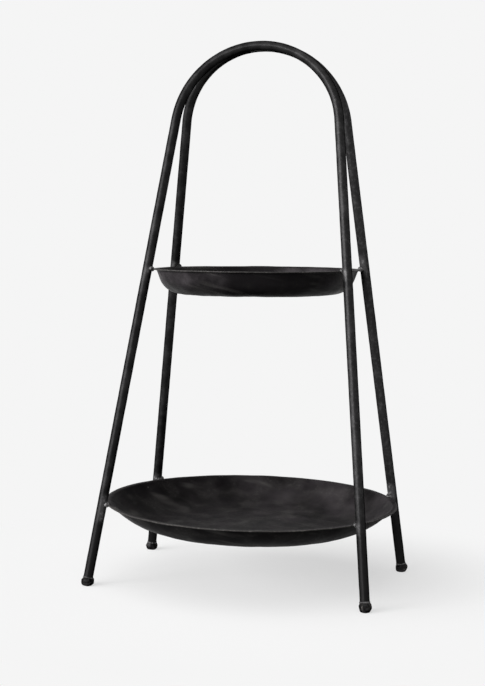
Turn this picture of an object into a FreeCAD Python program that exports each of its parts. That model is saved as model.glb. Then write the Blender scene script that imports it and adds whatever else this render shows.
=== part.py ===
"""Two-tier side table: two bent-tube hoops that lean on each other and carry two dished trays.

Millimetres. +Z is up, the origin is on the floor below the middle of the trays. The hoops span X, and
their feet spread along Y: the front hoop leans back from -Y, the rear hoop leans forward from +Y.
"""
import FreeCAD, Part

import math
import os

import Sketcher
from FreeCAD import Vector

DRIVING_DIMENSIONS = [
    # alias, value, what it is
    ("overall_height", 901.0, "floor to the top of the arches"),
    ("tube_dia", 16.0, "outside diameter of the hoop tube"),
    ("tube_wall", 1.5, "wall of the hoop tube"),
    ("arch_radius", 140.5, "centreline radius of the arch"),
    ("leg_splay", 6.85, "degrees each leg opens out in the plane of its hoop"),
    ("hoop_lean", 9.3, "degrees each hoop leans from upright"),
    ("crown_gap", 0.2, "root gap between the two tubes at the crown"),
    ("sheet_thickness", 2.0, "gauge of the tray sheet"),
    ("lip_bend", 3.0, "radius under the bend between lip and wall"),
    ("rim_gap", 0.4, "root gap between a tray rim and the legs"),
    ("upper_rim_height", 525.0, "floor to the top of the upper lip"),
    ("upper_lip", 4.0, "flat width of the upper lip, from its edge to the bend"),
    ("upper_depth", 41.5, "top of the lip to the underside of the floor"),
    ("upper_wall_lean", 22.0, "degrees the upper wall leans out from upright"),
    ("upper_corner", 38.0, "radius under the corner between wall and floor"),
    ("lower_rim_height", 133.5, "floor to the top of the lower lip"),
    ("lower_lip", 6.5, "flat width of the lower lip, from its edge to the bend"),
    ("lower_depth", 43.5, "top of the lip to the underside of the floor"),
    ("lower_wall_lean", 42.5, "degrees the lower wall leans out from upright"),
    ("lower_corner", 116.0, "radius under the corner between wall and floor"),
    ("ball_dia", 22.0, "diameter of a ball foot"),
    ("ball_centre", 7.5, "height of a ball's centre, which leaves it a flat to stand on"),
    ("foot_weld_rise", 3.0, "leg of the foot weld along the tube"),
    ("foot_weld_reach", 9.8, "radius at which the foot weld meets the ball"),
    ("rim_bead_dia", 11.0, "diameter of a bead between rim and leg"),
    ("rim_bead_lift", 1.0, "how far a bead's centre sits above the middle of the lip"),
    ("crown_bead_dia", 5.6, "width of the seams in the grooves between the hoops"),
    ("crown_bead_offset", 5.0, "height of a seam's middle above or below the tubes' centres"),
    ("crown_bead_angle", 18.0, "degrees of the arch that each seam covers"),
]

# Legs by name, with the side of the table that each stands on.
LEGS = {
    "front_left": (-1, -1),
    "front_right": (1, -1),
    "rear_left": (-1, 1),
    "rear_right": (1, 1),
}

# Every length below follows from the sheet. Angles in expressions are in degrees.
TUBE_R = "(Sheet.tube_dia / 2)"
BORE_R = "(Sheet.tube_dia / 2 - Sheet.tube_wall)"
BALL_R = "(Sheet.ball_dia / 2)"
CROWN_Z = "(Sheet.overall_height - Sheet.tube_dia / 2)"
CROWN_Y = "(Sheet.tube_dia / 2 + Sheet.crown_gap / 2)"
# A tube end sits on its ball along the inner edge of the bore, this far from the ball's centre.
BALL_SEAT = f"sqrt({BALL_R}^2 - {BORE_R}^2)"


def drop_to(level):
    """Distance from the crown down the plane of a hoop to a level above the floor."""
    return f"(({CROWN_Z} - {level}) / cos(Sheet.hoop_lean))"


def leg_x(level):
    """How far from the middle plane a leg's centreline is, along X, at a level."""
    arch_end = "Sheet.arch_radius * cos(Sheet.leg_splay)"
    arch_drop = "Sheet.arch_radius * (1 - sin(Sheet.leg_splay))"
    return f"({arch_end} + ({drop_to(level)} - {arch_drop}) * tan(Sheet.leg_splay))"


def leg_y(level):
    """How far from the middle plane a leg's centreline is, along Y, at a level."""
    return f"({CROWN_Y} + {drop_to(level)} * sin(Sheet.hoop_lean))"


def leg_radius(level):
    """How far from the table's axis a leg's centreline is at a level."""
    return f"sqrt({leg_x(level)}^2 + {leg_y(level)}^2)"


def leg_turn(side_x, side_y):
    """Rotation that takes +Z up along a leg."""
    lean = f"rotation(vector(1; 0; 0); {side_y} * Sheet.hoop_lean)"
    splay = f"rotation(vector(0; 1; 0); {-side_x} * Sheet.leg_splay)"
    return f"{lean} * {splay}"


def rim_level(tray):
    """Height of the middle of a tray's lip."""
    return f"(Sheet.{tray}_rim_height - Sheet.sheet_thickness / 2)"


def rim_radius(tray):
    """Outer radius of a tray, which reaches the inner face of the legs."""
    return f"({leg_radius(rim_level(tray))} - {TUBE_R} - Sheet.rim_gap)"


doc = FreeCAD.newDocument("TieredSideTable")
sheet = doc.addObject("Spreadsheet::Sheet", "Sheet")
dimension = {}
for row, (alias, value, meaning) in enumerate(DRIVING_DIMENSIONS, start=1):
    sheet.set(f"A{row}", alias)
    sheet.set(f"B{row}", str(value))
    sheet.setAlias(f"B{row}", alias)
    sheet.set(f"C{row}", meaning)
    dimension[alias] = value
doc.recompute()

sub_parts = []


def register(part, label):
    """Name a finished sub-part; its label is the name of its file."""
    part.Label = label
    sub_parts.append(part)
    return part


def origin_plane(body, role):
    return next(item for item in body.Origin.OriginFeatures if item.Role == role)


def add_sketch(body, name, role):
    sketch = body.newObject("Sketcher::SketchObject", name)
    sketch.AttachmentSupport = [(origin_plane(body, role), "")]
    sketch.MapMode = "FlatFace"
    return sketch


def drive(sketch, kind, *elements, start, by):
    """Add a dimension to a sketch: where it starts, and the expression that sets it."""
    index = sketch.addConstraint(Sketcher.Constraint(kind, *elements, start))
    sketch.setExpression(f"Constraints[{index}]", by)


def tie(sketch, kind, *elements):
    """Add a geometric constraint to a sketch."""
    sketch.addConstraint(Sketcher.Constraint(kind, *elements))


def place(part, x, y, z, turn=None):
    """Bind a part's place to expressions for its origin and, where it is turned, its rotation."""
    turn = turn or "rotation(vector(0; 0; 1); 0)"
    part.setExpression("Placement", f"placement(vector({x}; {y}; {z}); {turn})")


# Sketcher's names for the points of an element, and for the axes.
START, END, CENTRE = 1, 2, 3
ORIGIN, X_AXIS, Y_AXIS = (-1, 1), -1, -2


def make_hoop(label, side_y):
    """Arch and two straight legs swept from one tube, drawn upright with its crown at the origin."""
    body = doc.addObject("PartDesign::Body", label)

    path = add_sketch(body, f"{label}_path", "XZ_Plane")
    radius = dimension["arch_radius"]
    splay = math.radians(dimension["leg_splay"])
    reach = dimension["overall_height"]
    arch_end = Vector(radius * math.cos(splay), radius * (math.sin(splay) - 1), 0)
    foot = arch_end + Vector(math.sin(splay), -math.cos(splay), 0) * (reach + arch_end.y)
    mirrored = [Vector(-point.x, point.y, 0) for point in (foot, arch_end)]
    left_leg = path.addGeometry(Part.LineSegment(*mirrored))
    circle = Part.Circle(Vector(0, -radius, 0), Vector(0, 0, 1), radius)
    arch = path.addGeometry(Part.ArcOfCircle(circle, splay, math.pi - splay))
    right_leg = path.addGeometry(Part.LineSegment(foot, arch_end))
    tie(path, "Tangent", left_leg, END, arch, END)
    tie(path, "Tangent", arch, START, right_leg, END)
    tie(path, "PointOnObject", arch, CENTRE, Y_AXIS)
    tie(path, "Symmetric", left_leg, START, right_leg, START, Y_AXIS)
    drive(path, "Radius", arch, start=radius, by="Sheet.arch_radius")
    drive(path, "DistanceY", arch, CENTRE, *ORIGIN, start=radius, by="Sheet.arch_radius")
    drive(path, "Angle", right_leg, start=math.pi / 2 + splay, by="90 + Sheet.leg_splay")
    tube_end = f"{drop_to('Sheet.ball_centre')} - {BALL_SEAT} * cos(Sheet.leg_splay)"
    drive(path, "DistanceY", right_leg, START, *ORIGIN, start=-foot.y, by=tube_end)

    section = add_sketch(body, f"{label}_section", "YZ_Plane")
    for radius_by in (TUBE_R, BORE_R):
        ring = section.addGeometry(Part.Circle(Vector(0, 0, 0), Vector(0, 0, 1), 1.0))
        tie(section, "Coincident", ring, CENTRE, *ORIGIN)
        drive(section, "Radius", ring, start=1.0, by=radius_by)
    doc.recompute()

    tube = body.newObject("PartDesign::AdditivePipe", f"{label}_tube")
    tube.Profile = section
    tube.Spine = (path, [])
    lean = f"rotation(vector(1; 0; 0); {side_y} * Sheet.hoop_lean)"
    place(body, "0", f"{side_y} * {CROWN_Y}", CROWN_Z, lean)
    return register(body, label)


def make_tray(label, tray):
    """Sheet dish spun about Z: flat lip with a rounded edge, leaning wall, wide corner, flat floor."""
    body = doc.addObject("PartDesign::Body", label)
    profile = add_sketch(body, f"{label}_profile", "XZ_Plane")

    # Starting geometry, drawn close to its final size so that the solver keeps this form.
    sheet_t = dimension["sheet_thickness"]
    bend = dimension["lip_bend"]
    depth = dimension[f"{tray}_depth"]
    lean = math.radians(dimension[f"{tray}_wall_lean"])
    corner = dimension[f"{tray}_corner"]
    lip_end = sheet.evalExpression(rim_radius(tray)) - sheet_t / 2
    bend_x = lip_end + sheet_t / 2 - dimension[f"{tray}_lip"]
    inward = Vector(-math.cos(lean), math.sin(lean), 0)
    down = Vector(-math.sin(lean), -math.cos(lean), 0)
    bend_centre = Vector(bend_x, -sheet_t - bend, 0)
    wall_drop = depth - corner * (1 - math.sin(lean)) - sheet_t - bend * (1 - math.sin(lean))
    wall_top = bend_centre + inward * bend
    wall_foot = wall_top + down * (wall_drop / math.cos(lean))
    corner_centre = wall_foot + inward * corner
    floor_end = Vector(corner_centre.x, -depth, 0)
    up = Vector(0, sheet_t, 0)
    outward = Vector(1, 0, 0)

    def line(first, last):
        return profile.addGeometry(Part.LineSegment(first, last))

    def arc(centre, radius, first, last):
        circle = Part.Circle(centre, Vector(0, 0, 1), radius)
        return profile.addGeometry(Part.ArcOfCircle(circle, first, last))

    right, top, bottom = 0.0, math.pi / 2, -math.pi / 2
    lip_under = line(Vector(lip_end, -sheet_t, 0), Vector(bend_x, -sheet_t, 0))
    bend_under = arc(bend_centre, bend, top, math.pi - lean)
    wall_under = line(wall_top, wall_foot)
    corner_under = arc(corner_centre, corner, bottom, right - lean)
    floor_under = line(floor_end, Vector(0, -depth, 0))
    axis_edge = line(Vector(0, -depth, 0), Vector(0, sheet_t - depth, 0))
    floor_top = line(Vector(0, sheet_t - depth, 0), floor_end + up)
    corner_top = arc(corner_centre, corner - sheet_t, bottom, right - lean)
    wall_face = line(wall_foot + inward * sheet_t, wall_top + inward * sheet_t)
    bend_top = arc(bend_centre, bend + sheet_t, top, math.pi - lean)
    lip_top = line(Vector(bend_x, 0, 0), Vector(lip_end, 0, 0))
    edge_centre = Vector(lip_end, -sheet_t / 2, 0)
    edge = arc(edge_centre, sheet_t / 2, bottom, top)

    joins = [
        (lip_under, END, bend_under, START),
        (bend_under, END, wall_under, START),
        (wall_under, END, corner_under, END),
        (corner_under, START, floor_under, START),
        (floor_top, END, corner_top, START),
        (corner_top, END, wall_face, START),
        (wall_face, END, bend_top, END),
        (bend_top, START, lip_top, START),
        (lip_top, END, edge, END),
        (edge, START, lip_under, START),
    ]
    for join in joins:
        tie(profile, "Tangent", *join)
    tie(profile, "Coincident", floor_under, END, axis_edge, START)
    tie(profile, "Coincident", axis_edge, END, floor_top, START)
    tie(profile, "PointOnObject", axis_edge, START, Y_AXIS)
    tie(profile, "Vertical", axis_edge)
    for level in (floor_under, floor_top, lip_under, lip_top):
        tie(profile, "Horizontal", level)
    tie(profile, "Coincident", corner_under, CENTRE, corner_top, CENTRE)
    tie(profile, "Coincident", bend_under, CENTRE, bend_top, CENTRE)
    tie(profile, "PointOnObject", lip_top, END, X_AXIS)
    drive(profile, "Radius", bend_under, start=bend, by="Sheet.lip_bend")
    drive(profile, "Radius", edge, start=sheet_t / 2, by="Sheet.sheet_thickness / 2")
    drive(profile, "Radius", corner_under, start=corner, by=f"Sheet.{tray}_corner")
    drive(profile, "DistanceY", axis_edge, START, axis_edge, END, start=sheet_t,
          by="Sheet.sheet_thickness")
    drive(profile, "DistanceY", axis_edge, START, *ORIGIN, start=depth, by=f"Sheet.{tray}_depth")
    drive(profile, "Angle", wall_face, start=math.pi / 2 - lean, by=f"90 - Sheet.{tray}_wall_lean")
    drive(profile, "DistanceX", bend_under, CENTRE, edge, CENTRE, start=lip_end - bend_x,
          by=f"Sheet.{tray}_lip - Sheet.sheet_thickness / 2")
    drive(profile, "DistanceX", *ORIGIN, edge, CENTRE, start=lip_end,
          by=f"{rim_radius(tray)} - Sheet.sheet_thickness / 2")
    doc.recompute()

    dish = body.newObject("PartDesign::Revolution", f"{label}_dish")
    dish.Profile = profile
    dish.ReferenceAxis = (profile, ["V_Axis"])
    dish.Angle = 360
    place(body, "0", "0", f"Sheet.{tray}_rim_height")
    return register(body, label)


def make_foot(label, side_x, side_y):
    """Ball with a flat on the floor, spun about Z through the middle of the flat."""
    body = doc.addObject("PartDesign::Body", label)
    profile = add_sketch(body, f"{label}_profile", "XZ_Plane")
    radius = dimension["ball_dia"] / 2
    centre = dimension["ball_centre"]
    flat = math.sqrt(radius**2 - centre**2)
    pole = Vector(0, centre + radius, 0)
    axis_edge = profile.addGeometry(Part.LineSegment(pole, Vector(0, 0, 0)))
    base = profile.addGeometry(Part.LineSegment(Vector(0, 0, 0), Vector(flat, 0, 0)))
    circle = Part.Circle(Vector(0, centre, 0), Vector(0, 0, 1), radius)
    flank = profile.addGeometry(Part.ArcOfCircle(circle, -math.asin(centre / radius), math.pi / 2))
    tie(profile, "Coincident", axis_edge, END, base, START)
    tie(profile, "Coincident", axis_edge, END, *ORIGIN)
    tie(profile, "Coincident", base, END, flank, START)
    tie(profile, "Coincident", flank, END, axis_edge, START)
    tie(profile, "Horizontal", base)
    tie(profile, "Vertical", axis_edge)
    tie(profile, "PointOnObject", flank, CENTRE, Y_AXIS)
    drive(profile, "Radius", flank, start=radius, by=BALL_R)
    drive(profile, "DistanceY", *ORIGIN, flank, CENTRE, start=centre, by="Sheet.ball_centre")
    doc.recompute()

    ball = body.newObject("PartDesign::Revolution", f"{label}_ball")
    ball.Profile = profile
    ball.ReferenceAxis = (profile, ["V_Axis"])
    ball.Angle = 360
    level = "Sheet.ball_centre"
    place(body, f"{side_x} * {leg_x(level)}", f"{side_y} * {leg_y(level)}", "0")
    return register(body, label)


def make_foot_weld(name, side_x, side_y):
    """Fillet ring that fills the corner between the tube's end and the ball, spun about the leg."""
    body = doc.addObject("PartDesign::Body", name)
    profile = add_sketch(body, f"{name}_profile", "XZ_Plane")
    ball_r = dimension["ball_dia"] / 2
    tube_r = dimension["tube_dia"] / 2
    bore_r = tube_r - dimension["tube_wall"]
    seat = math.sqrt(ball_r**2 - bore_r**2)
    reach = dimension["foot_weld_reach"]
    toe = math.sqrt(ball_r**2 - reach**2)
    rise = seat + dimension["foot_weld_rise"]
    tube_end = profile.addGeometry(Part.LineSegment(Vector(bore_r, seat, 0), Vector(tube_r, seat, 0)))
    tube_side = profile.addGeometry(Part.LineSegment(Vector(tube_r, seat, 0), Vector(tube_r, rise, 0)))
    face = profile.addGeometry(Part.LineSegment(Vector(tube_r, rise, 0), Vector(reach, toe, 0)))
    circle = Part.Circle(Vector(0, 0, 0), Vector(0, 0, 1), ball_r)
    first, last = math.atan2(toe, reach), math.atan2(seat, bore_r)
    root = profile.addGeometry(Part.ArcOfCircle(circle, first, last))
    tie(profile, "Coincident", tube_end, END, tube_side, START)
    tie(profile, "Coincident", tube_side, END, face, START)
    tie(profile, "Coincident", face, END, root, START)
    tie(profile, "Coincident", root, END, tube_end, START)
    tie(profile, "Coincident", root, CENTRE, *ORIGIN)
    tie(profile, "Horizontal", tube_end)
    tie(profile, "Vertical", tube_side)
    drive(profile, "Radius", root, start=ball_r, by=BALL_R)
    drive(profile, "DistanceX", *ORIGIN, root, END, start=bore_r, by=BORE_R)
    drive(profile, "DistanceX", *ORIGIN, tube_end, END, start=tube_r, by=TUBE_R)
    drive(profile, "DistanceX", *ORIGIN, root, START, start=reach, by="Sheet.foot_weld_reach")
    drive(profile, "DistanceY", tube_side, START, tube_side, END, start=rise - seat,
          by="Sheet.foot_weld_rise")
    doc.recompute()

    ring = body.newObject("PartDesign::Revolution", f"{name}_ring")
    ring.Profile = profile
    ring.ReferenceAxis = (profile, ["V_Axis"])
    ring.Angle = 360
    level = "Sheet.ball_centre"
    place(body, f"{side_x} * {leg_x(level)}", f"{side_y} * {leg_y(level)}", level,
          leg_turn(side_x, side_y))
    return body


def make_leg_rod(name, side_x, side_y):
    """Solid round the size of the tube along one leg, to cut the beads to the leg's surface.

    It is no piece of the table: the hoop itself is hollow and would leave weld metal in its bore.
    """
    rod = doc.addObject("Part::Cylinder", f"{name}_rod")
    rod.setExpression("Radius", TUBE_R)
    rod.setExpression("Height", "Sheet.overall_height")
    level = "Sheet.ball_centre"
    place(rod, f"{side_x} * {leg_x(level)}", f"{side_y} * {leg_y(level)}", level,
          leg_turn(side_x, side_y))
    return rod


def cut(name, base, tool):
    result = doc.addObject("Part::Cut", name)
    result.Base = base
    result.Tool = tool
    return result


def make_rim_bead(name, tray, tray_body, rod, side_x, side_y):
    """Bead between a rim and a leg: a ball of weld metal, less the leg and the sheet it covers."""
    blob = doc.addObject("Part::Sphere", f"{name}_blob")
    blob.setExpression("Radius", "Sheet.rim_bead_dia / 2")
    level = rim_level(tray)
    # Along the line from the table's axis to the leg, this share of the way is the rim's edge.
    share = f"{rim_radius(tray)} / {leg_radius(level)}"
    place(blob, f"{side_x} * {leg_x(level)} * {share}", f"{side_y} * {leg_y(level)} * {share}",
          f"{level} + Sheet.rim_bead_lift")
    return cut(name, cut(f"{name}_off_leg", blob, rod), tray_body)


def make_crown_bead(name, above, hoops):
    """Seam along the groove between the hoops at the crown, above or below the tubes' centres."""
    seam = doc.addObject("Part::Torus", f"{name}_seam")
    offset = f"{above} * Sheet.crown_bead_offset"
    seam.setExpression("Radius1", f"Sheet.arch_radius + {offset}")
    seam.setExpression("Radius2", "Sheet.crown_bead_dia / 2")
    seam.setExpression("Angle3", "Sheet.crown_bead_angle")
    turn = ("rotation(vector(1; 0; 0); 90) * "
            "rotation(vector(0; 0; 1); 90 - Sheet.crown_bead_angle / 2)")
    place(seam, "0", "0", f"{CROWN_Z} - Sheet.arch_radius", turn)
    front, rear = hoops
    return cut(name, cut(f"{name}_off_front", seam, front), rear)


front_hoop = make_hoop("front_hoop", -1)
rear_hoop = make_hoop("rear_hoop", 1)
upper_tray = make_tray("upper_tray", "upper")
lower_tray = make_tray("lower_tray", "lower")
for place_name, sides in LEGS.items():
    make_foot(f"ball_foot_{place_name}", *sides)
    register(make_foot_weld(f"foot_weld_{place_name}_ring", *sides), f"foot_weld_{place_name}")
    rod = make_leg_rod(place_name, *sides)
    for tray, tray_body in (("upper", upper_tray), ("lower", lower_tray)):
        label = f"{tray}_tray_weld_{place_name}"
        register(make_rim_bead(f"{label}_bead", tray, tray_body, rod, *sides), label)
hoops = (front_hoop, rear_hoop)
register(make_crown_bead("crown_bead_above", 1, hoops), "crown_weld_top")
register(make_crown_bead("crown_bead_below", -1, hoops), "crown_weld_under")
doc.recompute()

for item in doc.Objects:
    if "Invalid" in item.State or "Error" in item.State:
        raise RuntimeError(f"{item.Name} did not recompute: {item.State}")
os.makedirs("parts", exist_ok=True)
for part in sub_parts:
    shape = part.Shape
    if shape.isNull() or not shape.isValid() or len(shape.Solids) != 1:
        raise RuntimeError(f"{part.Label} is not one valid solid")
for part in sub_parts:
    part.Shape.exportStep(f"parts/{part.Label}.step")
print(f"{len(sub_parts)} sub-parts written")
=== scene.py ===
"""Tiered side table, dressed: blackened tube hoops, hammered sheet trays, ball feet and weld beads.

Metres, +Z up, origin on the floor under the trays. The front hoop stands at -Y. The hoops, balls and
weld beads are grown by geometry node trees built below. The dishes are spun from a section and then
hammered by such a tree. The finishes are shader groups on object coordinates.
"""

import math

import bmesh
import bpy
from mathutils import Matrix, Vector


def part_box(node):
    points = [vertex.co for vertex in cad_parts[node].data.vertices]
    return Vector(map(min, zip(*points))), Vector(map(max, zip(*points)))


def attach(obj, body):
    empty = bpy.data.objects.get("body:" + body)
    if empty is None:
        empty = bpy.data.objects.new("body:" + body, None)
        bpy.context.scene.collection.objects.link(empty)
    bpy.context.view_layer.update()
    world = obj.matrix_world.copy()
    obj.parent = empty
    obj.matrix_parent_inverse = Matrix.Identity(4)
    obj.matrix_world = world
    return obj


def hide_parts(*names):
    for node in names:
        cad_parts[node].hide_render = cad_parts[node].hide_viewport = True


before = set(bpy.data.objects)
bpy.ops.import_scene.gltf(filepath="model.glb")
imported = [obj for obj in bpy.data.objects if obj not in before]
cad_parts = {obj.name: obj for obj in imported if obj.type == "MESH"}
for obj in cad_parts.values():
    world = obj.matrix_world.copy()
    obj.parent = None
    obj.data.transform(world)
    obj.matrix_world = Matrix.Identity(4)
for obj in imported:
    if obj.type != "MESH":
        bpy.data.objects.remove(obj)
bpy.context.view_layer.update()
SCENE = bpy.context.scene

# ---------------------------------------------------------------- sizes of the table

TUBE_RADIUS = 0.008
TUBE_BORE = 0.0065
ARCH_RADIUS = 0.1405
LEG_SPLAY = math.radians(6.85)
HOOP_LEAN = math.radians(9.3)
CROWN_GAP = 0.0002
SHEET = 0.002
LIP_BEND = 0.003
BALL_RADIUS = 0.011
BALL_CENTRE = 0.0075
# The dressed legs have closed ends, this far below the ball's seat.
LEG_BELOW_SEAT = 0.0028
# The dressed rims stay this much inside the CAD rims.
RIM_HAIR = 0.00001

# Flat width of the lip, depth, lean of the wall from upright in degrees, and radius under the corner.
# The trays were welded in a little out of level: they rise towards +X and +Y by these degrees.
TRAYS = {
    "upper_tray": {"lip": 0.004, "depth": 0.0415, "lean": 22.0, "corner": 0.038, "rises": (0.96, 0.69)},
    "lower_tray": {"lip": 0.0065, "depth": 0.0435, "lean": 42.5, "corner": 0.116, "rises": (-0.05, 0.8)},
}
# Each leg's sides, and how far its ball was beaten down: 1 is a round ball on its flat.
LEGS = {
    "front_left": ((-1, -1), 0.87),
    "front_right": ((1, -1), 1.0),
    "rear_left": ((-1, 1), 0.94),
    "rear_right": ((1, 1), 0.98),
}
# How far the legs were brushed bright above and below each rim after welding.
BRUSHED = {
    "upper_tray": {"front_left": (0.004, 0.006), "front_right": (0.004, 0.014),
                   "rear_left": (0.008, 0.004), "rear_right": (0.024, 0.010)},
    "lower_tray": {"front_left": (0.016, 0.024), "front_right": (0.006, 0.012),
                   "rear_left": (0.009, 0.004), "rear_right": (0.024, 0.006)},
}
# Painted sheen: how much each hoop's left and right legs are lightened all over, by the side of the hoop,
# most towards +X and on the rear hoop.
PAINTED_LEG_SHEEN = {-1: (0.0, 0.14), 1: (0.05, 0.24)}

CROWN_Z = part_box("front_hoop")[1].z - TUBE_RADIUS
CROWN_Y = TUBE_RADIUS + CROWN_GAP / 2
BALL_SEAT = math.sqrt(BALL_RADIUS**2 - TUBE_BORE**2)


def leg_point(side_x, side_y, level):
    """Point on a leg's centreline at a height above the floor."""
    drop = (CROWN_Z - level) / math.cos(HOOP_LEAN)
    arch_drop = ARCH_RADIUS * (1 - math.sin(LEG_SPLAY))
    x = ARCH_RADIUS * math.cos(LEG_SPLAY) + (drop - arch_drop) * math.tan(LEG_SPLAY)
    y = CROWN_Y + drop * math.sin(HOOP_LEAN)
    return Vector((side_x * x, side_y * y, level))


def leg_direction(side_x, side_y):
    """Unit vector up along a leg, from any two heights on it."""
    low, high = 0.1, 0.4
    return (leg_point(side_x, side_y, high) - leg_point(side_x, side_y, low)).normalized()


def rise_at(name, x, y):
    """How much higher a tray that is out of level stands at a place than at its middle."""
    rise_x, rise_y = (math.radians(rise) for rise in TRAYS[name]["rises"])
    return x * math.sin(rise_x) + y * math.sin(rise_y)


def joint(tray, side_x, side_y):
    """Point on a leg's centreline where a tray's rim comes up to the leg."""
    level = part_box(tray)[1].z - SHEET / 2
    nominal = leg_point(side_x, side_y, level)
    return leg_point(side_x, side_y, level + rise_at(tray, nominal.x, nominal.y))


def smooth_step(value, low, high):
    """0 at low and 1 at high, smoothly, held outside that range; low may be the larger."""
    share = min(1.0, max(0.0, (value - low) / (high - low)))
    return share * share * (3 - 2 * share)


# ---------------------------------------------------------------- building node trees

class Tree:
    """A node tree being built: geometry trees, shader groups and materials all use it."""

    def __init__(self, tree):
        self.tree = tree
        self.nodes = tree.nodes

    def add(self, kind, feeds=None, **settings):
        """Add a node, set its properties, then feed its inputs, which are named or numbered."""
        node = self.nodes.new(kind)
        for name, value in settings.items():
            setattr(node, name, value)
        for key, value in (feeds or {}).items():
            self.feed(node.inputs[key], value)
        return node

    def feed(self, socket, value):
        if isinstance(value, bpy.types.NodeSocket):
            self.tree.links.new(value, socket)
        else:
            socket.default_value = value

    def math(self, operation, first, second=0.0):
        return self.add("ShaderNodeMath", {0: first, 1: second}, operation=operation).outputs[0]

    def vector(self, operation, first, second=(0.0, 0.0, 0.0)):
        node = self.add("ShaderNodeVectorMath", {0: first, 1: second}, operation=operation)
        return node.outputs["Value" if operation in ("LENGTH", "DOT_PRODUCT") else "Vector"]

    def scaled(self, vector, factor):
        node = self.add("ShaderNodeVectorMath", {0: vector, "Scale": factor}, operation="SCALE")
        return node.outputs["Vector"]

    def ramp(self, value, low, high, start=0.0, end=1.0):
        """Take low..high smoothly to start..end, held outside that range."""
        feeds = {"Value": value, "From Min": low, "From Max": high, "To Min": start, "To Max": end}
        node = self.add("ShaderNodeMapRange", feeds, interpolation_type="SMOOTHSTEP")
        return node.outputs["Result"]

    def noise(self, where, scale, detail=2.0, roughness=0.5):
        feeds = {"Vector": where, "Scale": scale, "Detail": detail, "Roughness": roughness}
        return self.add("ShaderNodeTexNoise", feeds).outputs[0]

    def blend_colour(self, factor, first, second):
        node = self.add("ShaderNodeMix", {0: factor, 6: first, 7: second}, data_type="RGBA")
        return node.outputs[2]


def new_group(name, kind, inputs, outputs):
    """Node group with named inputs {name: (socket kind, default)}; returns it and its input sockets."""
    tree = bpy.data.node_groups.new(name, kind)
    for socket_name, (socket, default) in inputs.items():
        item = tree.interface.new_socket(name=socket_name, in_out="INPUT", socket_type=socket)
        if default is not None:
            item.default_value = default
    for socket_name, socket in outputs.items():
        tree.interface.new_socket(name=socket_name, in_out="OUTPUT", socket_type=socket)
    build = Tree(tree)
    return build, build.add("NodeGroupInput").outputs, build.add("NodeGroupOutput")


FLOAT, INTEGER, VECTOR = "NodeSocketFloat", "NodeSocketInt", "NodeSocketVector"
COLOUR, GEOMETRY, MATERIAL = "NodeSocketColor", "NodeSocketGeometry", "NodeSocketMaterial"


def new_geometry_tree(name, inputs):
    """Geometry tree that takes a geometry and the named inputs, and gives a geometry."""
    everything = {"Geometry": (GEOMETRY, None), **inputs, "Material": (MATERIAL, None)}
    return new_group(name, "GeometryNodeTree", everything, {"Geometry": GEOMETRY})


def finish_tree(build, given, leaving, geometry):
    """Close a geometry tree: smooth faces, no instances left, and the material set."""
    smooth = build.add("GeometryNodeSetShadeSmooth", {"Geometry": geometry}).outputs[0]
    real = build.add("GeometryNodeRealizeInstances", {"Geometry": smooth}).outputs[0]
    dressed = build.add("GeometryNodeSetMaterial", {"Geometry": real, "Material": given["Material"]})
    build.feed(leaving.inputs["Geometry"], dressed.outputs[0])
    return build.tree


def grow(name, tree, start, **settings):
    """Run a geometry tree on a starting mesh and keep what it makes as a plain mesh object."""
    piece = bpy.data.objects.new(name, start)
    SCENE.collection.objects.link(piece)
    modifier = piece.modifiers.new(tree.name, "NODES")
    modifier.node_group = tree
    for item in tree.interface.items_tree:
        key = item.name.lower().replace(" ", "_")
        if item.in_out == "INPUT" and key in settings:
            modifier[item.identifier] = settings[key]
    graph = bpy.context.evaluated_depsgraph_get()
    plain = bpy.data.meshes.new_from_object(piece.evaluated_get(graph))
    piece.modifiers.clear()
    piece.data = plain
    plain.name = name
    return piece


def settle(piece, slot, *nodes):
    """Let a finished piece stand for its CAD nodes and ride on the table; its slot is not used."""
    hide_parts(*nodes)
    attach(piece, "root")


# ---------------------------------------------------------------- finishes

def oxide_mottle_group():
    """Blackened skin: soft patches of lighter oxide over black, finer specks, and uneven sheen."""
    build, given, leaving = new_group(
        "oxide_mottle",
        "ShaderNodeTree",
        {
            "Where": (VECTOR, None),
            "Black": (COLOUR, (0.010, 0.0098, 0.0096, 1.0)),
            "Oxide": (COLOUR, (0.030, 0.028, 0.026, 1.0)),
            "Patch Scale": (FLOAT, 30.0),
            "Patch Spread": (FLOAT, 0.5),
            "Soot": (FLOAT, 0.0),
            "Sheen Low": (FLOAT, 0.38),
            "Sheen High": (FLOAT, 0.58),
        },
        {"Color": COLOUR, "Roughness": FLOAT, "Height": FLOAT},
    )
    where = given["Where"]
    broad = build.noise(where, given["Patch Scale"], 3.0, 0.52)
    specks = build.noise(where, build.math("MULTIPLY", given["Patch Scale"], 14.0), 3.0, 0.7)
    patches = build.ramp(broad, build.math("SUBTRACT", 0.72, given["Patch Spread"]), 0.78)
    mixed = build.math("ADD", build.math("MULTIPLY", patches, 0.86),
                       build.math("MULTIPLY", build.ramp(specks, 0.5, 0.8), 0.14))
    # Painted shade takes the lighter oxide away, leaving the deep black.
    mixed = build.math("MULTIPLY", mixed, build.math("SUBTRACT", 1.0, given["Soot"]))
    colour = build.blend_colour(mixed, given["Black"], given["Oxide"])
    uneven = build.math("ADD", build.math("MULTIPLY", broad, 0.6), build.math("MULTIPLY", specks, 0.4))
    sheen = build.ramp(uneven, 0.32, 0.68, given["Sheen Low"], given["Sheen High"])
    build.feed(leaving.inputs["Color"], colour)
    build.feed(leaving.inputs["Roughness"], sheen)
    build.feed(leaving.inputs["Height"], specks)
    return build.tree


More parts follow.
